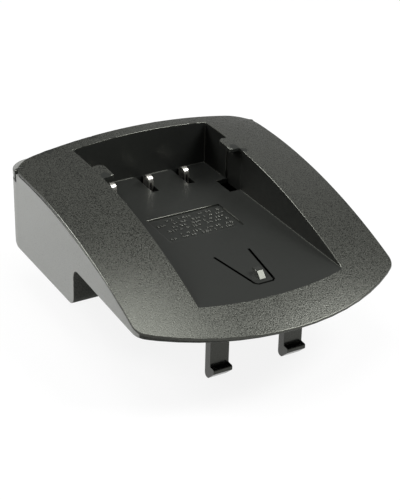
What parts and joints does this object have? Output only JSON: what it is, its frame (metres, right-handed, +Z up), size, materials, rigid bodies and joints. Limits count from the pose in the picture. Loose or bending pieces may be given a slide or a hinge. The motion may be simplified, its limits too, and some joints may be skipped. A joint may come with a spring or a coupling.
{
  "type": "camera battery charger plate",
  "caption": "Clip-on plate of a camera battery charger: domed cover with an open battery bay, spring contacts, hold-down tabs and a latch tongue, over a shell with hooks.",
  "frame": {"origin": "middle of the flat underside of the rear block, the face that sits in the charger's well", "axes": "+Y towards the contact end of the battery bay, +Z up out of the bay, +X to the right when looking along +Y"},
  "size_m": [0.0648, 0.0793, 0.0348],
  "materials": {
    "cover_plastic": "spark-eroded satin charcoal",
    "shell_plastic": "satin charcoal",
    "carrier_plastic": "matt black",
    "nickel_strip": "bright nickel",
    "board_laminate": "green solder mask",
    "terminal_brass": "bright",
    "resistor_lacquer": "gloss lacquer",
    "screw_steel": "zinc plated"
  },
  "bodies": {
    "root": {"top_cover": "cover_plastic", "lower_shell": "shell_plastic", "contact_carrier": "carrier_plastic", "contact_spring_left": "nickel_strip", "contact_spring_middle": "nickel_strip", "contact_spring_right": "nickel_strip", "circuit_board": "board_laminate", "base_terminal_1": "terminal_brass", "base_terminal_2": "terminal_brass", "base_terminal_3": "terminal_brass", "base_terminal_4": "terminal_brass", "coding_resistor_left": "resistor_lacquer", "coding_resistor_right": "resistor_lacquer", "case_screw_rear_left": "screw_steel", "case_screw_rear_right": "screw_steel", "case_screw_front_left": "screw_steel", "case_screw_front_right": "screw_steel", "board_screw_left": "screw_steel", "board_screw_right": "screw_steel"}
  },
  "joints": []
}
